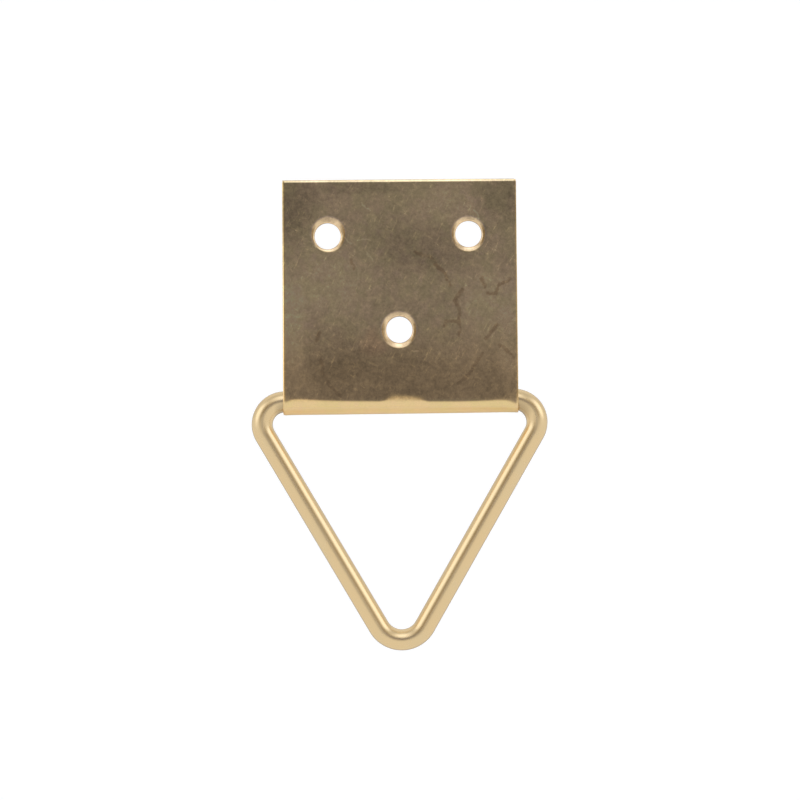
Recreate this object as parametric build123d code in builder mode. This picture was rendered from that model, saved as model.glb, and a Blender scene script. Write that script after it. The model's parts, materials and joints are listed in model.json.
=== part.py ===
from build123d import *
from math import acos, asin, atan, degrees, hypot
import os

# Picture hanger: a sheet strip folded double round the top bar of a triangular wire ring.
# The origin is the centre of the flat back face. +X is right, +Z is up, and the front looks along -Y.
# All lengths are in millimetres.

# Folded plate
plate_width = 25.0
plate_height = 25.0
sheet = 0.3
leaf_gap = 0.25
edge_roll = 0.12

# Dent of the knuckle over the gap between the wire's ends, shaped by a waisted barrel that is set back
dent_depth = 0.12
dent_set_back = 0.6
dent_margin = 5.0

# Screw holes, with their drops measured from the plate's top edge
hole_diameter = 2.8
hole_spacing = 15.0
upper_hole_drop = 6.0
lower_hole_drop = 16.0
hole_roll = 0.15

# Wire ring, with its width and drop measured between the sharp corners of the wire's centre line
wire_diameter = 2.25
ring_width = 32.7
ring_drop = 28.2
corner_bend = 2.4
tip_bend = 2.9
wire_gap = 3.2
cut_chamfer = 0.1

# Clearance between the wire and the inside of the knuckle, all round
running_gap = 0.06

# Places that follow from the sizes above
wire_radius = wire_diameter / 2
knuckle_inside = wire_radius + running_gap
knuckle_middle = knuckle_inside + sheet / 2
knuckle_outside = knuckle_inside + sheet
top_edge = plate_height / 2
pivot_depth = -knuckle_outside
pivot_height = knuckle_outside - plate_height / 2

# The front leaf leans back until its top edge stands leaf_gap in front of the back leaf
leaf_rise = top_edge - pivot_height
step_back = knuckle_inside - leaf_gap
lean = degrees(atan(step_back / leaf_rise) + asin(knuckle_inside / hypot(leaf_rise, step_back)))

# The barrel's waist, and the half angles of the dent as seen from the barrel's axis and the knuckle's
waist = knuckle_outside + dent_set_back - dent_depth
waist_curve = wire_gap**2 / (8 * dent_depth) + dent_depth / 2
waist_spread = 2 * degrees(asin(wire_gap / 2 / waist_curve))
past_barrel = waist**2 + dent_set_back**2 - knuckle_outside**2
barrel_swing = degrees(acos(past_barrel / (2 * waist * dent_set_back))) + dent_margin
past_knuckle = waist**2 - dent_set_back**2 - knuckle_outside**2
knuckle_swing = degrees(acos(past_knuckle / (2 * knuckle_outside * dent_set_back)))

# The dent starts where the front leaf ends, and its planes have +X right and +Y out of the knuckle
level = Plane((0, pivot_depth, pivot_height), x_dir=(1, 0, 0), z_dir=(0, 0, -1))
dent_middle = level.rotated((knuckle_swing - lean, 0, 0))
barrel_centre = dent_middle.from_local_coords(Vector(0, -dent_set_back, 0))
barrel_axis = Axis(barrel_centre, (1, 0, 0))
dent_top = Plane(barrel_centre, x_dir=(1, 0, 0), z_dir=dent_middle.z_dir).rotated((-barrel_swing, 0, 0))


def waist_line(depth):
    """Draws the barrel's waist at a depth under its skin."""
    return CenterArc((0, waist - depth + waist_curve), waist_curve, 270 - waist_spread, 2 * waist_spread)


# Dented sheet: a band of the barrel as thick as the sheet, trimmed to the knuckle's outside
with BuildPart() as dented_sheet:
    with BuildSketch(dent_top):
        with BuildLine():
            skin = waist_line(0)
            lining = waist_line(sheet)
            Line(skin @ 0, lining @ 0)
            Line(skin @ 1, lining @ 1)
        make_face()
    revolve(axis=barrel_axis, revolution_arc=2 * barrel_swing)
    with Locations(level.rotated((0, 90, 0))):
        Cylinder(knuckle_outside, plate_width, mode=Mode.INTERSECT)

# Folded plate: the sheet's section, its outer corners rolled by the shears, follows the hairpin fold
with BuildPart() as folded_plate:
    with BuildLine(Plane.YZ) as fold:
        back_leaf = Line((-sheet / 2, top_edge), (-sheet / 2, pivot_height))
        knuckle = JernArc(back_leaf @ 1, back_leaf % 1, knuckle_middle, -(180 + lean))
        fold_end = knuckle @ 1
        leaf_way = knuckle % 1
        front_length = (top_edge - fold_end.Z - sheet / 2 * leaf_way.Y) / leaf_way.Z
        Line(fold_end, fold_end + leaf_way * front_length)
    with BuildSketch(Plane(back_leaf @ 0, x_dir=(1, 0, 0), z_dir=back_leaf % 0)):
        section = Rectangle(plate_width, sheet)
        fillet(section.vertices().group_by(Axis.Y)[0], edge_roll)
    sweep(path=fold.line)

    # The two outer edges along the top are rolled as the sides are
    top_ends = folded_plate.edges().filter_by(Axis.X).filter_by_position(Axis.Z, top_edge - sheet, top_edge)
    fillet([top_ends.sort_by(Axis.Y)[0], top_ends.sort_by(Axis.Y)[-1]], edge_roll)

    # Screw holes, punched from the front through both leaves, which rolls the front leaf's outer edges
    with Locations(Plane.XZ):
        with Locations(
            (-hole_spacing / 2, top_edge - upper_hole_drop),
            (hole_spacing / 2, top_edge - upper_hole_drop),
            (0, top_edge - lower_hole_drop),
        ):
            Hole(hole_diameter / 2)
    front_skin = folded_plate.faces().filter_by(GeomType.PLANE).sort_by(Axis.Y)[0]
    fillet(front_skin.inner_wires().edges(), hole_roll)

    # Dent: the knuckle outside the barrel is cut away, and the dented sheet takes its place
    with BuildSketch(dent_top):
        with BuildLine():
            skin = waist_line(0)
            Line(skin @ 0, skin @ 1)
        make_face()
    revolve(axis=barrel_axis, revolution_arc=2 * barrel_swing, mode=Mode.SUBTRACT)
    add(dented_sheet.part)
folded_plate.part.label = "folded_plate"

# Wire ring: a triangle whose ends face each other across a gap in the top bar, inside the knuckle
ring_plane = Plane((0, pivot_depth, pivot_height), x_dir=(1, 0, 0), z_dir=(0, -1, 0))
with BuildPart() as triangle_ring:
    with BuildLine(ring_plane) as wire:
        FilletPolyline(
            (wire_gap / 2, 0),
            (ring_width / 2, 0),
            (0, -ring_drop),
            (-ring_width / 2, 0),
            (-wire_gap / 2, 0),
            radius=(corner_bend, tip_bend, corner_bend),
        )
    with BuildSketch(Plane(wire.line @ 0, z_dir=wire.line % 0)):
        Circle(wire_radius)
    sweep(path=wire.line)
    chamfer(triangle_ring.faces().filter_by(GeomType.PLANE).edges(), cut_chamfer)
triangle_ring.part.label = "triangle_ring"

os.makedirs("parts", exist_ok=True)
export_step(folded_plate.part, "parts/folded_plate.step")
export_step(triangle_ring.part, "parts/triangle_ring.step")
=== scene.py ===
import json
import math

import bmesh
import bpy
import numpy as np
from mathutils import Matrix, Vector


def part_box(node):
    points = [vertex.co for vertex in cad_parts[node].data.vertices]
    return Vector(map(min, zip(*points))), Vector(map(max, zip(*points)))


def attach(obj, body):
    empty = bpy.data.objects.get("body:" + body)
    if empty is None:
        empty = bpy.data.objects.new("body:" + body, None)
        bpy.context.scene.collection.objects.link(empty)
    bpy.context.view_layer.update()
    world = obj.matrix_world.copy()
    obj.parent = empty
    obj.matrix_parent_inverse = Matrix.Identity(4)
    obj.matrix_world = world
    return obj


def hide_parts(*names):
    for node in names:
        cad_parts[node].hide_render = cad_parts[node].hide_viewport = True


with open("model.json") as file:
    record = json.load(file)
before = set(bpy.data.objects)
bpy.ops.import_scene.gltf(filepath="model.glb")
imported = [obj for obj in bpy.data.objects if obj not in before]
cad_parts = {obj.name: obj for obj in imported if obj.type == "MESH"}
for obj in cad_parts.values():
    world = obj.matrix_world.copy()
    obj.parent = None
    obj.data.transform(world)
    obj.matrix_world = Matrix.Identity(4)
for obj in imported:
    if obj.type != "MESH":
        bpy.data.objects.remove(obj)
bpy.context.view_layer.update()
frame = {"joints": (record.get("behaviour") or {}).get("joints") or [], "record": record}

# Picture hanger: a brass plate folded round the top bar of a triangular wire ring.
# Places are in metres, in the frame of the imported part. The front looks along -Y and +Z is up.

MM = 0.001

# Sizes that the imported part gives
mounts = {mount["name"]: mount for mount in frame["record"]["mounts"]}
pivot = Vector(frame["joints"][0]["pos_m"])
plate_low, plate_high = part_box("folded_plate")
ring_low, ring_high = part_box("triangle_ring")
half_width = (plate_high.x - plate_low.x) / 2
wire_radius = (ring_high.y - ring_low.y) / 2
knuckle_outside = plate_high.y - pivot.y
leaf_length = plate_high.z - pivot.z
hole_radius = mounts["lower_screw_hole"]["dims"]["r_mm"] * MM
hole_reach = mounts["upper_screw_holes"]["dims"]["spacing_x_mm"] * MM / 2
upper_hole_drop = plate_high.z - mounts["upper_screw_holes"]["pos_m"][2]
lower_hole_drop = plate_high.z - mounts["lower_screw_hole"]["pos_m"][2]

# Screw holes: x, and the drop from the plate's top edge
screw_holes = [
    (-hole_reach, upper_hole_drop),
    (hole_reach, upper_hole_drop),
    (0.0, lower_hole_drop),
]

# Folded plate
sheet = 0.3 * MM
leaf_gap = 0.25 * MM
corner_round = 0.2 * MM
burr = 0.03 * MM
roll_steps = 7

# The sheet is thinner round the wire, and this is how far the thinning takes to set in and to end
wire_room = 0.055 * MM
thinning_start = 1.0 * MM
thinning_end = 0.6 * MM

# How far the sheared edges are rolled over: left, right, top of the back leaf, top of the front leaf
edge_reaches = np.array([0.28, 0.06, 0.24, 0.36]) * MM
edge_roll_depth = 0.13 * MM
hole_roll_reach = 0.1 * MM
hole_roll_depth = 0.12 * MM
left_trim = 0.1 * MM

# How far each punched hole, and the dish that the punch drew round it, sit off their places: x, up
hole_slips = np.array([(-0.1, 0.0), (-0.11, 0.13), (-0.04, 0.0)]) * MM
dish_slips = np.array([(-0.02, 0.26), (-0.12, 0.2), (-0.09, 0.03)]) * MM

# The dishes: how far they reach past the hole, their slope, and how much it eases towards the top
dish_reaches = np.array([0.51, 0.49, 0.56]) * MM
dish_narrowing = 1.09
dish_slope = 0.28
dish_lift = 0.42
dish_flat = 0.1
dish_knee = 0.12 * MM

# Dent of the fold over the gap in the wire, a little shallower at its right end
dent_depth = 0.17 * MM
dent_from = -0.3 * MM
dent_to = 1.7 * MM
dent_run_in = 1.9 * MM
dent_run_out = 1.3 * MM
dent_shallowing = 0.3
dent_below_leaf = 0.54 * MM
dent_half_height = 0.62 * MM

# Marks at both ends of the fold: how far they stand out, their reach inwards, how far they lie below the
# leaf and their half height
end_flare = np.array([0.12, 1.1, 1.0, 0.5]) * MM
end_press = np.array([-0.045, 3.6, 0.5, 0.6]) * MM

# Skew of the fold's bottom, which rises to the right, and how much less of the skew its lining takes
skew_rise = 0.16 * MM
skew_drop = 0.015 * MM
skew_easing = 0.65

# Skew of the fold's upper border, which tilts, lifts towards both ends and falls at the very ends
border_tilt = -0.0113
border_drop = 0.09 * MM
border_lift = 0.16 * MM
border_lift_reach = 4.0 * MM
border_fall = 0.38 * MM
border_fall_reach = 0.85 * MM
border_below_bar = 0.1 * MM
border_half_height = 0.9 * MM

# Slow waves that handling left in the front leaf, which set in above its foot
wave_count = 9
wave_lengths = (7 * MM, 20 * MM)
wave_steepness = 0.0011
wave_seed = 4
leaf_foot = 2.0 * MM

# Grid of the flat strip, and the square of it that gives way to rings round each hole
cell = 0.25 * MM
knuckle_cell = 0.1 * MM
margin = 0.6 * MM
window = 3.0 * MM
window_rings = 12
ring_crowding = 1.5

# Edges where the faces turn by more than this stay sharp
sharp_angle = math.radians(40)

# Wire ring, its width and drop measured between the sharp corners of the wire's centre line
ring_width = 32.7 * MM
ring_drop = 28.2 * MM
corner_bend = 2.4 * MM
tip_bend = 2.82 * MM
wire_gap = 4.6 * MM
seam_x = 0.5 * MM
cut_chamfer = 0.1 * MM

# The ring hangs a little askew in the play of the knuckle
ring_skew = math.radians(0.2)
ring_slip = np.array([-0.1, -0.03]) * MM

# Facets of the wire: round it, along each bend and along the straight runs
wire_sides = 72
bend_steps = 40
bar_step = 0.6 * MM

# The front leaf leans back until its top edge stands leaf_gap in front of the back leaf
knuckle_inside = knuckle_outside - sheet
knuckle_middle = knuckle_outside - sheet / 2
step_back = knuckle_inside - leaf_gap
lean = math.atan(step_back / leaf_length) + math.asin(knuckle_inside / math.hypot(leaf_length, step_back))

# Distances along the strip, from the top of the back leaf
fold_turn = math.pi + lean
front_start = leaf_length + knuckle_middle * fold_turn
front_length = (leaf_length - knuckle_outside * math.sin(lean)) / math.cos(lean)
strip_length = front_start + front_length


def bell(distance, width):
    """1 at no distance, falling smoothly to nothing about two widths away."""
    return np.exp(-((distance / width) ** 2))


def rise(values, low, high):
    """0 below low and 1 above high, with a smooth rise between them."""
    share = np.clip((values - low) / (high - low), 0, 1)
    return share * share * (3 - 2 * share)


def fold_at(s):
    """Point and outward normal, as (y, z), of the sheet's middle at the distance s along the strip."""
    angle = np.clip((s - leaf_length) / knuckle_middle, 0, fold_turn)
    normal = np.stack([np.cos(angle), -np.sin(angle)], axis=-1)
    way = np.stack([-np.sin(angle), -np.cos(angle)], axis=-1)
    past_bend = np.minimum(s - leaf_length, 0) + np.maximum(s - front_start, 0)
    point = np.array([pivot.y, pivot.z]) + knuckle_middle * normal
    return point + way * past_bend[..., None], normal


def hand_waves(x, s):
    """Slow waves in the sheet, from a few crossed sine waves."""
    draw = np.random.default_rng(wave_seed)
    height = np.zeros_like(x)
    for _ in range(wave_count):
        length = draw.uniform(*wave_lengths)
        heading = draw.uniform(0, math.pi)
        phase = draw.uniform(0, 2 * math.pi)
        along = x * math.cos(heading) + s * math.sin(heading)
        height += wave_steepness * length * np.sin(2 * math.pi * along / length + phase)
    return height / math.sqrt(wave_count)


def dent_over_seam(x, s):
    """The sheet sinks in where it spans the gap between the wire's ends."""
    across = rise(x, dent_from - dent_run_in, dent_from) * (1 - rise(x, dent_to, dent_to + dent_run_out))
    across *= 1 - dent_shallowing * rise(x, dent_to - dent_run_out, dent_to)
    return -dent_depth * across * bell(s - front_start + dent_below_leaf, dent_half_height)


def end_mark(x, s, mark):
    """A soft mark at both ends of the fold."""
    out, inward_reach, below_leaf, half_height = mark
    return out * bell(half_width - np.abs(x), inward_reach) * bell(s - front_start + below_leaf, half_height)


def dished_holes(x, s):
    """The punch drew the sheet into a shallow funnel round each hole."""
    drop = (strip_length - s) * math.cos(lean)
    sink = np.zeros_like(x)
    for (hole_x, hole_drop), (slip_x, slip_up), reach in zip(screw_holes, dish_slips, dish_reaches):
        across, upward = (x - hole_x - slip_x) * dish_narrowing, hole_drop - slip_up - drop
        away = np.hypot(across, upward)
        inside = hole_radius + reach - away
        slope = dish_slope * (1 - dish_lift * upward / away - dish_flat * (upward / away) ** 2)
        sink -= slope * (inside + np.hypot(inside, dish_knee)) / 2
    return sink


def sheet_form(x, s):
    """How far the sheet stands off its plain folded form."""
    on_leaf = np.clip((s - front_start) / leaf_foot, 0, 1)
    on_fold = dent_over_seam(x, s) + end_mark(x, s, end_flare) + end_mark(x, s, end_press)
    return on_fold + (dished_holes(x, s) + hand_waves(x, s)) * on_leaf


def skewed_fold(x, z, depth):
    """How much higher the fold runs: its bottom towards the right, its upper border towards the ends."""
    bottom = skew_rise * (x + half_width) / (2 * half_width) - skew_drop
    inward = half_width - np.abs(x)
    border = border_tilt * x - border_drop
    border += border_lift * bell(inward, border_lift_reach) - border_fall * bell(inward, border_fall_reach)
    height = bottom * rise(pivot.z - z, 0, knuckle_outside)
    height += border * bell(z - pivot.z + border_below_bar, border_half_height)
    return height * (1 - skew_easing * depth / sheet)


def sheet_points(flat, depth):
    """Points of the folded sheet at a depth under its outer skin."""
    x, s = flat[:, 0], flat[:, 1]
    middle, normal = fold_at(s)
    round_wire = rise(s, leaf_length, leaf_length + thinning_start)
    round_wire *= 1 - rise(s, front_start - thinning_end, front_start)
    inward = depth * (1 - round_wire * wire_room / sheet)
    folded = middle + normal * (sheet / 2 - inward + sheet_form(x, s))[:, None]
    folded[:, 1] += skewed_fold(x, folded[:, 1], depth)
    return np.column_stack([x, folded])


def grid_lines(stops, spacing=cell):
    """Lines through every stop, evenly spaced between neighbours and about a spacing apart."""
    runs = [
        np.linspace(low, high, max(1, round((high - low) / spacing)), endpoint=False)
        for low, high in zip(stops, stops[1:])
    ]
    return np.concatenate(runs + [stops[-1:]])


def window_stops(centres):
    """The two sides of the window round each centre."""
    return [stop for centre in centres for stop in (centre - window, centre + window)]


drops = [0, margin] + window_stops([upper_hole_drop, lower_hole_drop])
front_drops = [strip_length - drop / math.cos(lean) for drop in reversed(drops)]
x_lines = grid_lines(
    [-half_width, -half_width + margin]
    + window_stops([-hole_reach, 0, hole_reach])
    + [half_width - margin, half_width]
)
s_lines = np.concatenate([
    grid_lines(drops + [leaf_length])[:-1],
    grid_lines([leaf_length, front_start], knuckle_cell)[:-1],
    grid_lines([front_start] + front_drops),
])

# Each hole of the flat strip: its centre, how much the leaning leaf stretches it, and how far it slipped
strip_holes = [(x, drop, 1.0, (slip[0], -slip[1])) for (x, drop), slip in zip(screw_holes, hole_slips)]
strip_holes += [
    (x, strip_length - drop / math.cos(lean), 1 / math.cos(lean), slip)
    for (x, drop), slip in zip(screw_holes, hole_slips)
]


def draw_in(lines, low_inset, high_inset):
    """The same lines, with those in the margins moved so that the outermost stand in by the insets."""
    low, high = lines[0], lines[-1]
    near_low = np.clip((low + margin - lines) / margin, 0, 1)
    near_high = np.clip((lines - high + margin) / margin, 0, 1)
    return lines + low_inset * near_low - high_inset * near_high


def round_corners(points):
    """Square corners of the strip turned into round ones."""
    middle = np.array([0, strip_length / 2])
    half = np.array([half_width, strip_length / 2])
    offset = points - middle
    inner = half - corner_round
    beyond = (np.abs(offset) - inner) / corner_round
    in_corner = (beyond > 0).all(axis=-1)
    squeeze = np.sqrt(1 - np.clip(beyond[:, ::-1], 0, 1) ** 2 / 2)
    rounded = np.sign(offset) * (inner + beyond * corner_round * squeeze)
    return middle + np.where(in_corner[:, None], rounded, offset)


def line_number(lines, value):
    """Number of the line that is nearest to a value."""
    return int(np.argmin(np.abs(lines - value)))


def window_span(hole):
    """Numbers of the lines at the left, right, low and high side of a hole's window."""
    x, s, stretch, _ = hole
    left, right = (line_number(x_lines, x + side * window) for side in (-1, 1))
    low, high = (line_number(s_lines, s + side * window * stretch) for side in (-1, 1))
    return left, right, low, high


def window_loop(hole):
    """Numbers of the grid points round the square that a hole's rings fill."""
    left, right, low, high = window_span(hole)
    steps = [(i, low) for i in range(left, right)]
    steps += [(right, j) for j in range(low, high)]
    steps += [(i, high) for i in range(right, left, -1)]
    steps += [(left, j) for j in range(high, low, -1)]
    return [j * len(x_lines) + i for i, j in steps]


def border_loop():
    """Numbers of the grid points along the strip's outer edge."""
    across, along = len(x_lines), len(s_lines)
    loop = list(range(across - 1))
    loop += [j * across + across - 1 for j in range(along - 1)]
    loop += [(along - 1) * across + i for i in range(across - 1, 0, -1)]
    return loop + [j * across for j in range(along - 1, 0, -1)]


def strip_points(edge_insets, hole_inset):
    """All points (x, s) of the flat strip, its four edges and its holes drawn in by the insets."""
    left, right, back_top, front_top = edge_insets
    xs, ss = np.meshgrid(draw_in(x_lines, left + left_trim, right), draw_in(s_lines, back_top, front_top))
    points = round_corners(np.stack([xs.ravel(), ss.ravel()], axis=-1))
    rings = []
    for hole in strip_holes:
        x, s, stretch, slip = hole
        square = points[window_loop(hole)]
        away = (square - [x, s]) / [1, stretch]
        away /= np.linalg.norm(away, axis=1)[:, None]
        circle = np.array([x, s]) + slip + away * (hole_radius + hole_inset) * [1, stretch]
        for ring in range(1, window_rings + 1):
            share = (1 - ring / window_rings) ** ring_crowding
            rings.append(circle + (square - circle) * share)
    return np.concatenate([points] + rings)


def join_loops(first, second):
    """A band of quads between two closed loops of as many points."""
    return list(zip(first, first[1:] + first[:1], second[1:] + second[:1], second))


def plain_quads():
    """Quads of the flat strip's grid, apart from the windows round its holes."""
    across = len(x_lines)
    spans = [window_span(hole) for hole in strip_holes]
    quads = []
    for j in range(len(s_lines) - 1):
        for i in range(across - 1):
            if any(left <= i < right and low <= j < high for left, right, low, high in spans):
                continue
            corner = j * across + i
            quads.append((corner, corner + 1, corner + across + 1, corner + across))
    return quads


def strip_faces():
    """Quads of the flat strip, and the loops of points along its outer edge and round each hole."""
    quads, loops = plain_quads(), [border_loop()]
    start = len(x_lines) * len(s_lines)
    for hole in strip_holes:
        outer = window_loop(hole)
        for _ in range(window_rings):
            inner = list(range(start, start + len(outer)))
            quads += join_loops(outer, inner)
            outer = inner
            start += len(outer)
        loops.append(outer)
    return quads, loops


def rolled_edge():
    """Steps down a sheared edge as shares of its roll's reach and depth."""
    angles = [k / roll_steps * math.pi / 2 for k in range(1, roll_steps + 1)]
    return [(1 - math.sin(angle), 1 - math.cos(angle)) for angle in angles]


def make_piece(name, points, faces, finish, body, node):
    """A piece that stands for a node of the part, smooth apart from edges over the sharp angle."""
    mesh = bpy.data.meshes.new(name)
    mesh.from_pydata([tuple(point) for point in points], [], faces)
    form = bmesh.new()
    form.from_mesh(mesh)
    # Grid points inside the windows round the holes belong to no face
    bmesh.ops.delete(form, geom=[v for v in form.verts if not v.link_faces], context="VERTS")
    bmesh.ops.recalc_face_normals(form, faces=form.faces)
    for edge in form.edges:
        edge.smooth = edge.calc_face_angle(0) < sharp_angle
    for face in form.faces:
        face.smooth = True
    form.to_mesh(mesh)
    form.free()
    mesh.materials.append(finish)
    piece = bpy.data.objects.new(name, mesh)
    bpy.context.scene.collection.objects.link(piece)
    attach(piece, body)
    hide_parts(node)
    return piece


def fold_plate(finish):
    """The folded plate: an outer and an inner skin, joined by rolled edges round the strip and its holes."""
    quads, loops = strip_faces()
    outer_flat = strip_points(edge_reaches, hole_roll_reach)
    inner_flat = strip_points(np.full(4, burr), burr)
    points = [sheet_points(outer_flat, 0), sheet_points(inner_flat, sheet)]
    below = len(outer_flat)
    faces = quads + [tuple(below + corner for corner in quad) for quad in quads]
    used = 2 * below
    steps = rolled_edge()
    flats = [strip_points(edge_reaches * share, hole_roll_reach * share) for share, _ in steps]
    for number, loop in enumerate(loops):
        roll_depth = edge_roll_depth if number == 0 else hole_roll_depth
        depths = [roll_depth * down for _, down in steps]
        last = loop
        # Past its roll the edge runs straight on to the burr
        for flat, depth in zip(flats + flats[-1:], depths + [sheet - burr]):
            points.append(sheet_points(flat[loop], depth))
            ring = list(range(used, used + len(loop)))
            faces += join_loops(last, ring)
            last = ring
            used += len(loop)
        faces += join_loops(last, [below + corner for corner in loop])
    return make_piece("brass_plate", np.concatenate(points), faces, finish, "plate", "folded_plate")


def straight_run(start, end):
    """Points from just after the start to the end, about a bar step apart."""
    count = max(1, round(np.linalg.norm(end - start) / bar_step))
    return [start + (end - start) * k / count for k in range(1, count + 1)]


def rounded_path(corners, bends):
    """Points of a path through the corners, each inner corner rounded to its bend."""
    corners = [np.array(corner, float) for corner in corners]
    path = [corners[0]]
    for before, corner, after, bend in zip(corners, corners[1:], corners[2:], bends):
        into = (corner - before) / np.linalg.norm(corner - before)
        out = (after - corner) / np.linalg.norm(after - corner)
        turn = math.acos(np.clip(into @ out, -1, 1))
        start = corner - into * bend * math.tan(turn / 2)
        side = out - into * (out @ into)
        side /= np.linalg.norm(side)
        path += straight_run(path[-1], start)
        for step in range(1, bend_steps + 1):
            angle = turn * step / bend_steps
            path.append(start + bend * (math.sin(angle) * into + (1 - math.cos(angle)) * side))
    path += straight_run(path[-1], corners[-1])
    return np.array(path)


def ring_path():
    """Centre line of the wire as the ring hangs, as (x, z) from the middle of the knuckle."""
    path = rounded_path(
        [
            (seam_x + wire_gap / 2, 0),
            (ring_width / 2, 0),
            (0, -ring_drop),
            (-ring_width / 2, 0),
            (seam_x - wire_gap / 2, 0),
        ],
        [corner_bend, tip_bend, corner_bend],
    )
    cosine, sine = math.cos(ring_skew), math.sin(ring_skew)
    return path @ np.array([[cosine, sine], [-sine, cosine]]) + ring_slip


def wire_sections():
    """Middle, way and radius of each round section of the wire, with a chamfer at both cut ends."""
    path = ring_path()
    ways = np.gradient(path, axis=0)
    ways /= np.linalg.norm(ways, axis=1)[:, None]
    first_cut, last_cut = path[:1].copy(), path[-1:].copy()
    path[0] += ways[0] * cut_chamfer
    path[-1] -= ways[-1] * cut_chamfer
    path = np.concatenate([first_cut, path, last_cut])
    ways = np.concatenate([ways[:1], ways, ways[-1:]])
    radii = np.full(len(path), wire_radius)
    radii[[0, -1]] -= cut_chamfer
    return zip(path, ways, radii)


def round_section(middle, way, radius):
    """Points of a circle across the wire."""
    turns = np.linspace(0, 2 * math.pi, wire_sides, endpoint=False)
    inward = radius * np.cos(turns)
    return np.column_stack([
        pivot.x + middle[0] - way[1] * inward,
        pivot.y + radius * np.sin(turns),
        pivot.z + middle[1] + way[0] * inward,
    ])


def bend_ring(finish):
    """The wire ring: round sections along the triangle, closed at both cut ends."""
    sections = [round_section(*section) for section in wire_sections()]
    loops = [list(range(k * wire_sides, (k + 1) * wire_sides)) for k in range(len(sections))]
    faces = [quad for first, second in zip(loops, loops[1:]) for quad in join_loops(first, second)]
    faces += [tuple(reversed(loops[0])), tuple(loops[-1])]
    return make_piece("wire_ring", np.concatenate(sections), faces, finish, "ring", "triangle_ring")


class Value:
    """One socket of a node tree, so that Python's operators add its Math nodes."""

    def __init__(self, tree, socket):
        self.tree = tree
        self.socket = socket

    def maths(self, operation, *others):
        """A Math node's result, with this value as its first."""
        values = dict(enumerate((self,) + others))
        return self.tree.add("ShaderNodeMath", {"operation": operation}, values)

    def __add__(self, other):
        return self.maths("ADD", other)

    __radd__ = __add__

    def __mul__(self, other):
        return self.maths("MULTIPLY", other)

    __rmul__ = __mul__

    def __sub__(self, other):
        return self.maths("SUBTRACT", other)

    def __rsub__(self, other):
        return self.tree.add("ShaderNodeMath", {"operation": "SUBTRACT"}, {0: other, 1: self})

    def __pow__(self, other):
        return self.maths("POWER", other)

    def __abs__(self):
        return self.maths("ABSOLUTE")

    def within(self, low, high):
        """The value, held between low and high."""
        return self.maths("MAXIMUM", low).maths("MINIMUM", high)

    def step(self, low, high):
        """0 below low and 1 above high, with a smooth rise between them."""
        settings = {"interpolation_type": "SMOOTHSTEP"}
        return self.tree.add("ShaderNodeMapRange", settings, {0: self, 1: low, 2: high})

    def part(self, number):
        """One part of a vector: 0 for x, 1 for y, 2 for z."""
        return self.tree.add("ShaderNodeSeparateXYZ", {}, {0: self}, number)

    def vector_maths(self, operation, values, out=0):
        """A Vector Math node's result, with this value as its first."""
        return self.tree.add("ShaderNodeVectorMath", {"operation": operation}, {0: self, **values}, out)

    def scaled(self, x, y, z):
        """A vector, each of its parts scaled."""
        return self.vector_maths("MULTIPLY", {1: (x, y, z)})

    def times(self, factor):
        """A vector or colour, all of it scaled by a factor."""
        return self.vector_maths("SCALE", {3: factor})

    def moved(self, other):
        """A vector, moved by another."""
        return self.vector_maths("ADD", {1: other})

    def turned(self, angle):
        """A vector, turned about +Y by an angle in degrees."""
        values = {"Vector": self, "Angle": math.radians(angle)}
        return self.tree.add("ShaderNodeVectorRotate", {"rotation_type": "Y_AXIS"}, values)

    def dot(self, x, y, z):
        """How far a vector reaches along (x, y, z)."""
        return self.vector_maths("DOT_PRODUCT", {1: (x, y, z)}, 1)


class Tree:
    """A node tree that is built by adding nodes."""

    def __init__(self, owner):
        owner.use_nodes = True
        self.nodes = owner.node_tree.nodes
        self.links = owner.node_tree.links
        self.nodes.clear()

    def add(self, kind, settings=None, values=None, out=0):
        """Adds a node, sets it up and gives back one of its outputs."""
        node = self.nodes.new(kind)
        for name, setting in (settings or {}).items():
            setattr(node, name, setting)
        for key, value in (values or {}).items():
            if isinstance(value, Value):
                self.links.new(value.socket, node.inputs[key])
            else:
                node.inputs[key].default_value = value
        return Value(self, node.outputs[out]) if node.outputs else node

    def noise(self, place, scale, detail=3.0, roughness=0.55, distortion=0.0):
        """A noise between 0 and 1, with a scale in waves to the millimetre."""
        return self.add("ShaderNodeTexNoise", {}, {
            "Vector": place,
            "Scale": scale,
            "Detail": detail,
            "Roughness": roughness,
            "Distortion": distortion,
        })

    def wander(self, place, scale, reach):
        """The place, pushed about by a noise."""
        push = self.add("ShaderNodeTexNoise", {}, {"Vector": place, "Scale": scale, "Detail": 3.0}, 1)
        return place.moved(push.moved((-0.5, -0.5, -0.5)).times(reach))

    def blend(self, share, first, second):
        """The first colour, turning into the second as the share goes to 1."""
        first = first if isinstance(first, Value) else (*first, 1)
        second = second if isinstance(second, Value) else (*second, 1)
        return self.add("ShaderNodeMix", {"data_type": "RGBA"}, {0: share, 6: first, 7: second}, 2)


def object_place(tree):
    """Place on the piece in millimetres."""
    place = tree.add("ShaderNodeTexCoord", out="Object")
    return place.scaled(1 / MM, 1 / MM, 1 / MM)


def finish_surface(tree, colour, roughness, relief, strength, reach):
    """Polished metal of that colour, roughness and relief."""
    bump = tree.add("ShaderNodeBump", {}, {"Strength": strength, "Distance": reach, "Height": relief})
    shader = tree.add("ShaderNodeBsdfPrincipled", {}, {
        "Base Color": colour,
        "Metallic": 1.0,
        "Roughness": roughness,
        "Normal": bump,
    })
    tree.add("ShaderNodeOutputMaterial", {}, {"Surface": shader})


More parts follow.
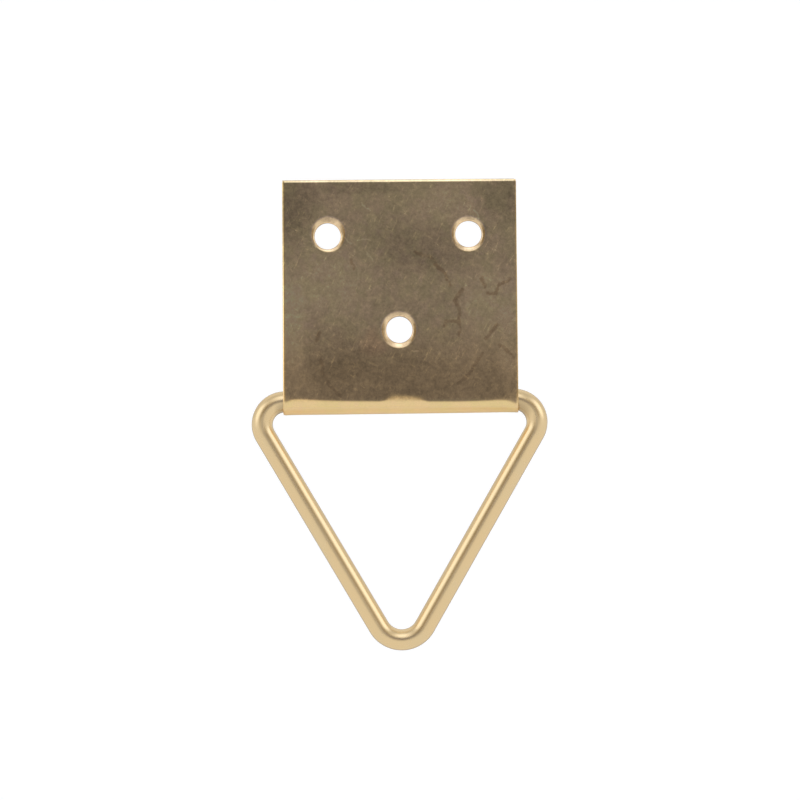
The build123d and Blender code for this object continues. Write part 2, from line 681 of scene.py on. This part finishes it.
# Colours of the brass
plate_yellow = (0.87, 0.632, 0.33)
plate_green = (0.835, 0.64, 0.31)
plate_pink = (0.85, 0.59, 0.35)
plate_brown = (0.83, 0.577, 0.275)
copper_stain = (0.86, 0.54, 0.27)
vein_brown = (0.87, 0.585, 0.28)
dish_pale = (0.86, 0.65, 0.42)
# Painted highlight: the pale colour of the plate's top edge
painted_edge_highlight = (0.93, 0.8, 0.58)
wire_yellow = (0.84, 0.63, 0.35)
wire_green = (0.82, 0.63, 0.36)

# The marks below are in millimetres from the middle of the plate.

# Stains of the front leaf: x, z, reach in x and z, change of tone
smudges = [
    (-12.0, 9.5, 4.0, 5.0, -0.3),
    (-4.5, 12.0, 5.5, 1.7, -0.16),
    (12.0, 10.5, 5.0, 3.5, -0.2),
    (4.8, 10.0, 5.0, 3.2, 0.12),
    (-7.5, 1.5, 6.5, 5.0, 0.14),
    (-12.0, -3.5, 2.6, 7.0, 0.2),
    (2.6, 5.0, 6.0, 3.0, -0.18),
    (-1.0, 6.5, 3.0, 2.0, -0.08),
    (9.8, -1.2, 4.5, 6.0, 0.15),
    (11.3, -7.5, 1.5, 3.2, 0.16),
    (-2.0, -8.8, 11.5, 4.2, -0.2),
    (-7.0, -6.0, 4.0, 3.8, -0.12),
    (9.3, -9.0, 3.0, 2.6, -0.14),
    (1.5, -6.2, 2.6, 1.8, -0.08),
    (5.0, -10.6, 9.0, 1.8, -0.08),
    (12.0, -10.2, 2.2, 2.6, -0.12),
]

# Dark veins of the front leaf, each through points x, z
veins = [
    [(1.8, 4.7), (3.3, 4.1), (4.0, 3.3), (4.8, 2.5), (5.4, 1.1)],
    [(6.7, 0.7), (5.9, -0.4), (6.3, -1.4), (6.3, -4.0)],
    [(6.3, -2.7), (4.9, -2.7), (4.7, -3.2)],
    [(11.7, 1.7), (10.6, 1.2), (10.2, 0.2), (9.4, 0.3)],
    [(8.7, 1.9), (9.1, 1.0)],
    [(10.4, -3.1), (9.7, -3.9), (9.1, -4.5)],
    [(10.6, -5.2), (11.4, -5.9), (12.0, -6.6)],
    [(8.7, -6.1), (8.0, -7.2), (7.6, -8.0), (7.0, -8.6), (6.2, -9.2)],
    [(-8.5, -3.8), (-8.8, -4.6)],
    [(-8.3, -6.7), (-8.2, -8.0), (-7.5, -9.3), (-6.4, -10.5)],
    [(-5.1, 3.9), (-4.8, 3.0)],
]
vein_width = 0.26
vein_breaks = (0.2, 0.56)

# Pale scratches of the front leaf, each from x, z to x, z
scratches = [
    ((-3.4, 4.6), (-2.8, 3.9)),
    ((-4.4, 6.0), (-3.1, 6.1)),
    ((-3.9, 9.9), (-3.1, 9.2)),
    ((-5.9, 6.4), (-5.1, 5.6)),
    ((8.0, 9.1), (8.6, 8.2)),
    ((1.3, -5.9), (1.9, -5.7)),
]
scratch_width = 0.13

# Scuffs: angle in degrees, the noise above which they show, strength
scuff_sets = [(62, 0.62, 1.0), (-35, 0.64, 0.8)]
scuff_stretch = (0.8, 1.0, 5.5)
scuff_softness = 0.09

# Copper-coloured stain beside the lower hole: x, z, reach in x and z, share of the colour
copper_spot = (-3.0, -5.0, 2.0, 1.8, 0.5)

# Rim of the dish round each screw hole: x, z and radius
hole_rims = [
    ((x + slip[0]) / MM, (plate_high.z - drop + slip[1]) / MM, (hole_radius + reach) / MM)
    for (x, drop), slip, reach in zip(screw_holes, dish_slips, dish_reaches)
]

# Softness of a dish's edge, how far off its rim the painted shade fades, and the x - z over which it sets in
rim_blur = 0.1
painted_shade_fade = (0.05, 0.24)
painted_shade_side = (-0.3, 1.5)

# Heights between which the finish of the plate changes, and where its painted light and painted highlight
# set in
leaf_band = (-11.3, -10.7)
brown_band = (-9, -1)
worn_band = (-12.1, -11.4)
# Painted light: the fold's foot is brightened below this
painted_light_foot_band = (-12.4, -11.8)
top_edge_highlight_band = (12.1, 12.35)

# Depths, as y, between which the front leaf's finish gives way to the back leaf's
front_band = (-0.5, -0.42)

# Shares of the noises in the uneven tone of the leaves, and how much of it and of the scuffs the fold keeps
cloud_share = 0.22
mottle_share = 0.34
blotch_share = 0.3
speckle_share = 0.5
fold_unevenness = 0.15
fold_scuffs = 0.2

# How far a noise pushes the stains and the veins about: its scale, and its reach in millimetres
stain_drift = (0.5, 2.4)
vein_drift = (1.6, 0.7)

# Shares of the tints
pink_tint = 0.5
vein_tint = 0.8
dish_tint = 0.8
# Share of the painted highlight on the top edge
edge_highlight_share = 0.4

# How much the marks darken or brighten the tone, the painted shade and the painted light among them
vein_loss = 0.26
painted_shade_loss = 0.14
scuff_gain = 0.12
scratch_gain = 0.26
# Painted light at the fold's foot
painted_light_foot_gain = 0.1

# Roughness of the polish, what the mottle, the scuffs and the wear add to it, and the noises in its relief
plate_roughness = 0.13
mottle_roughness = 0.05
scuff_roughness = 0.07
worn_roughness = 0.34
mottle_relief = 0.5
speckle_relief = 0.25

# Roughness of the wire, and what its clouds add to it
wire_roughness = 0.24
wire_cloud_roughness = 0.06

# Painted shade on the ring beside both ends of the knuckle, where the plate shades the wire: x, z, reach in
# x and z, loss of tone
painted_wire_shade = [(12.4, -12.2, 1.7, 1.5, 0.36), (-12.4, -12.2, 1.1, 1.3, 0.32)]


def smudge(x, z, centre_x, centre_z, reach_x, reach_z):
    """1 in the middle of a soft patch, falling to 0 at its reach."""
    across = (x - centre_x) * (1 / reach_x)
    upward = (z - centre_z) * (1 / reach_z)
    return 1 - (across * across + upward * upward).step(0, 1)


def smudged(x, z, spots):
    """All the soft patches together, each times the last of its numbers."""
    return sum(smudge(x, z, *spot) * share for *spot, share in spots)


def streak(x, z, start, end, width):
    """1 along the line between two points, falling to 0 a width away."""
    run_x, run_z = end[0] - start[0], end[1] - start[1]
    square = run_x ** 2 + run_z ** 2
    along = ((x - start[0]) * (run_x / square) + (z - start[1]) * (run_z / square)).within(0, 1)
    away_x = x - start[0] - along * run_x
    away_z = z - start[1] - along * run_z
    return 1 - (away_x * away_x + away_z * away_z).step(0, width ** 2)


def rim_marks(place, centre_x, centre_z, radius):
    """The burnished dish inside a circle, and a painted shade along the lower right of it."""
    offset = place.moved((-centre_x, 0, -centre_z))
    x, z = offset.part(0), offset.part(2)
    beyond = (x * x + z * z) ** 0.5 - radius
    # Painted shade: a dark crescent just outside the lower right of the rim
    painted_shade = (1 - abs(beyond).step(*painted_shade_fade)) * (x - z).step(*painted_shade_side)
    return 1 - beyond.step(-rim_blur, rim_blur), painted_shade


def leaf_lines(tree, place):
    """The dark veins, broken up here and there, and the pale scratches."""
    fine = tree.wander(place, *vein_drift)
    x, z = fine.part(0), fine.part(2)
    runs = [run for points in veins for run in zip(points, points[1:])]
    vein = sum(streak(x, z, start, end, vein_width) for start, end in runs)
    scratch = sum(streak(x, z, start, end, scratch_width) for start, end in scratches)
    broken = tree.noise(place, 1.6).step(*vein_breaks)
    return vein.within(0, 1) * broken, scratch.within(0, 1)


def scuffs(tree, place, angle, low):
    """Short fine strokes in one direction."""
    stretched = place.turned(angle).scaled(*scuff_stretch)
    return tree.noise(stretched, 1.0, detail=2.0, roughness=0.5).step(low, low + scuff_softness)


def polish_noises(tree, place):
    """Noises of the polish about 0: broad clouds, mottle, blotches and a fine speckle."""
    cloud = tree.noise(place, 0.35) - 0.5
    mottle = tree.noise(place, 1.3, roughness=0.6, distortion=0.2) - 0.5
    blotch = tree.noise(place, 2.6, detail=2.0, roughness=0.5, distortion=0.6) - 0.5
    speckle = tree.noise(place, 4.5, roughness=0.65) - 0.5
    return cloud, mottle, blotch, speckle


def plate_tints(tree, place, brown, copper):
    """Colour of the plate: yellow brass clouded with green and pink, with its shares of brown and copper."""
    clouds = tree.noise(place, 0.5).step(0.36, 0.64)
    pink = tree.noise(place, 0.8, detail=4.0, roughness=0.6).step(0.5, 0.75) * pink_tint
    colour = tree.blend(clouds, plate_yellow, plate_green)
    colour = tree.blend(pink, colour, plate_pink)
    colour = tree.blend(brown, colour, plate_brown)
    return tree.blend(copper, colour, copper_stain)


def plate_brass():
    """Brass plate with a worn polish: broad stains, dark veins, cloudy speckle and pale hairline scuffs,
    with painted shade round the holes, painted light at the fold's foot and a painted highlight on the top
    edge.
    """
    material = bpy.data.materials.new("plate_brass")
    tree = Tree(material)
    place = object_place(tree)
    drifting = tree.wander(place, *stain_drift)
    x, z = drifting.part(0), drifting.part(2)
    upward = place.part(2)
    leaf = upward.step(*leaf_band)
    front = leaf * (1 - place.part(1).step(*front_band))

    cloud, mottle, blotch, speckle = polish_noises(tree, place)
    uneven = cloud * cloud_share + mottle * mottle_share + blotch * blotch_share + speckle * speckle_share
    uneven = uneven * (leaf * (1 - fold_unevenness) + fold_unevenness)

    vein, scratch = leaf_lines(tree, place)
    dark = vein * front
    dish, painted_shade = (sum(marks) * front for marks in zip(*(rim_marks(place, *rim) for rim in hole_rims)))
    pale = sum(scuffs(tree, place, angle, low) * strength for angle, low, strength in scuff_sets)
    pale = pale * (leaf * (1 - fold_scuffs) + fold_scuffs)
    tone = 1 + smudged(x, z, smudges) * front + uneven
    # Painted light: the bottom of the fold brightened
    tone = tone * (1 + (1 - upward.step(*painted_light_foot_band)) * painted_light_foot_gain)
    # The rim's painted shade darkens the tone outside the lower right of each dish
    tone = tone * (1 - dark * vein_loss) * (1 - painted_shade * painted_shade_loss)
    tone = tone + pale * scuff_gain + scratch * front * scratch_gain

    brown = (1 - z.step(*brown_band)) * front
    colour = plate_tints(tree, place, brown, smudged(x, z, [copper_spot]) * front)
    colour = tree.blend(dark * vein_tint, colour, vein_brown)
    colour = tree.blend(dish * dish_tint, colour, dish_pale)
    # Painted highlight: the top edge paled as where it catches the light
    colour = tree.blend(upward.step(*top_edge_highlight_band) * edge_highlight_share, colour, painted_edge_highlight)
    worn = 1 - upward.step(*worn_band)
    roughness = plate_roughness + mottle.step(-0.1, 0.25) * mottle_roughness
    roughness = roughness + pale * scuff_roughness + worn * worn_roughness
    relief = mottle * mottle_relief + speckle * speckle_relief
    finish_surface(tree, colour.times(tone), roughness, relief, strength=0.12, reach=0.05 * MM)
    return material


def wire_brass():
    """Bright drawn brass wire, with painted shade beside both ends of the knuckle."""
    material = bpy.data.materials.new("wire_brass")
    tree = Tree(material)
    place = object_place(tree)
    clouds = tree.noise(place, 0.3)
    colour = tree.blend(clouds.step(0.35, 0.65), wire_yellow, wire_green)
    # Painted shade on the wire next to the plate's ends
    painted_shade = smudged(place.part(0), place.part(2), painted_wire_shade)
    roughness = wire_roughness + clouds * wire_cloud_roughness
    relief = tree.noise(place, 2.0)
    finish_surface(tree, colour.times(1 - painted_shade), roughness, relief, strength=0.05, reach=0.03 * MM)
    return material


# Camera: straight on, far enough away that the plate's taper is what the photograph shows
view_width = 85.3 * MM
camera_distance = 350.0 * MM
camera_roll = math.radians(0.45)
camera_x = -0.03 * MM
camera_z = -10.98 * MM
sensor_width = 36.0
nearest_seen = 10 * MM


def set_camera():
    """The camera, level with the middle of the picture and rolled a little."""
    lens = bpy.data.cameras.new("camera")
    lens.sensor_width = sensor_width
    lens.lens = sensor_width * camera_distance / view_width
    lens.clip_start = nearest_seen
    camera = bpy.data.objects.new("camera", lens)
    camera.matrix_world = (
        Matrix.Translation((camera_x, -camera_distance, camera_z))
        @ Matrix.Rotation(math.pi / 2, 4, "X")
        @ Matrix.Rotation(-camera_roll, 4, "Z")
    )
    bpy.context.scene.collection.objects.link(camera)
    bpy.context.scene.camera = camera


# Studio: each patch of it has an azimuth, an elevation, the angles of its core and edge, and a strength.
# Azimuth 0 is towards the camera and 90 to its right, and all angles are in degrees.
soft_boxes = [
    (-6, 48, 10, 27, 1.0),
    (65, 27, 10, 26, 1.0),
    (-65, 22, 10, 26, 0.88),
]
dim_corners = [
    (-62, 62, 5, 28, 0.22),
    (62, 62, 5, 28, 0.22),
    (-120, 28, 8, 30, 0.14),
    (120, 28, 8, 30, 0.14),
    (180, -10, 15, 50, 0.42),
]
dark_arms = [
    (-22, 14, 6, 18, 1.0),
    (23, 14, 5, 17, 0.9),
    (-27, 38, 5, 18, 0.45),
    (28, 38, 5, 18, 0.35),
    (0, 1, 2, 13, 0.3),
]
dark_middle = [(0, 13, 7, 18, 1.0)]
tent_light = 0.86
box_light = 0.62
white = (1, 1, 1)
box_blue = (1.0, 1.04, 1.14)
arm_brown = (0.29, 0.23, 0.13)
middle_grey = (0.247, 0.251, 0.32)


def towards(azimuth, elevation):
    """Unit vector from the object, with azimuth 0 towards the camera and 90 to its right."""
    turn, tilt = math.radians(azimuth), math.radians(elevation)
    return (math.sin(turn) * math.cos(tilt), -math.cos(turn) * math.cos(tilt), math.sin(tilt))


def patch(direction, azimuth, elevation, core, edge):
    """1 within the core angle of a direction, fading to 0 at the edge angle."""
    toward = direction.dot(*towards(azimuth, elevation))
    return toward.step(math.cos(math.radians(edge)), math.cos(math.radians(core)))


def patches(direction, spots):
    """All the patches together, each times its strength."""
    return sum(patch(direction, *angles) * strength for *angles, strength in spots)


def set_studio():
    """A white tent with brighter strips, and the dark camera side that the plate mirrors."""
    world = bpy.data.worlds.new("studio")
    bpy.context.scene.world = world
    tree = Tree(world)
    direction = tree.add("ShaderNodeTexCoord", out="Generated")
    boxes = patches(direction, soft_boxes)
    light = boxes * box_light + tent_light - patches(direction, dim_corners)
    colour = tree.blend(boxes.within(0, 1), white, box_blue)
    colour = tree.blend(patches(direction, dark_arms).within(0, 1), colour, arm_brown)
    colour = tree.blend(patches(direction, dark_middle), colour, middle_grey)
    seen = tree.add("ShaderNodeLightPath", out="Is Camera Ray")
    shade = tree.blend(seen, colour.times(light), white)
    background = tree.add("ShaderNodeBackground", {}, {"Color": shade, "Strength": 1.0})
    tree.add("ShaderNodeOutputWorld", {}, {"Surface": background})
    bpy.context.scene.view_settings.view_transform = "Standard"


# Floor, well below the object, and the backdrop that it turns up into
floor_z = -0.45
floor_front = -1.2
floor_back = 0.6
floor_half_width = 1.5
backdrop_bend = 0.5
backdrop_steps = 12
backdrop_top = 1.2
floor_grey = (0.9, 0.9, 0.9, 1)
floor_glow = 0.25


def floor_profile():
    """Side view of the floor and backdrop, as (y, z)."""
    profile = [(floor_front, floor_z), (floor_back, floor_z)]
    for k in range(1, backdrop_steps + 1):
        angle = k / backdrop_steps * math.pi / 2
        across, upward = backdrop_bend * math.sin(angle), backdrop_bend * (1 - math.cos(angle))
        profile.append((floor_back + across, floor_z + upward))
    return profile + [(floor_back + backdrop_bend, backdrop_top)]


def pale_floor():
    """Matt pale paint with a faint glow of its own."""
    material = bpy.data.materials.new("pale_floor")
    tree = Tree(material)
    matt = tree.add("ShaderNodeBsdfDiffuse", {}, {"Color": floor_grey})
    glow = tree.add("ShaderNodeEmission", {}, {"Color": (*white, 1), "Strength": floor_glow})
    both = tree.add("ShaderNodeAddShader", {}, {0: matt, 1: glow})
    tree.add("ShaderNodeOutputMaterial", {}, {"Surface": both})
    return material


def set_floor():
    """A pale floor that turns up into a pale backdrop behind the object."""
    profile = floor_profile()
    points = [(x, y, z) for y, z in profile for x in (-floor_half_width, floor_half_width)]
    faces = [(2 * k, 2 * k + 1, 2 * k + 3, 2 * k + 2) for k in range(len(profile) - 1)]
    mesh = bpy.data.meshes.new("floor")
    mesh.from_pydata(points, [], faces)
    for face in mesh.polygons:
        face.use_smooth = True
    mesh.materials.append(pale_floor())
    floor = bpy.data.objects.new("floor", mesh)
    bpy.context.scene.collection.objects.link(floor)
    floor.visible_glossy = False
    floor.visible_diffuse = False
    floor.visible_shadow = False


plate = fold_plate(plate_brass())
ring = bend_ring(wire_brass())
set_camera()
set_studio()
set_floor()
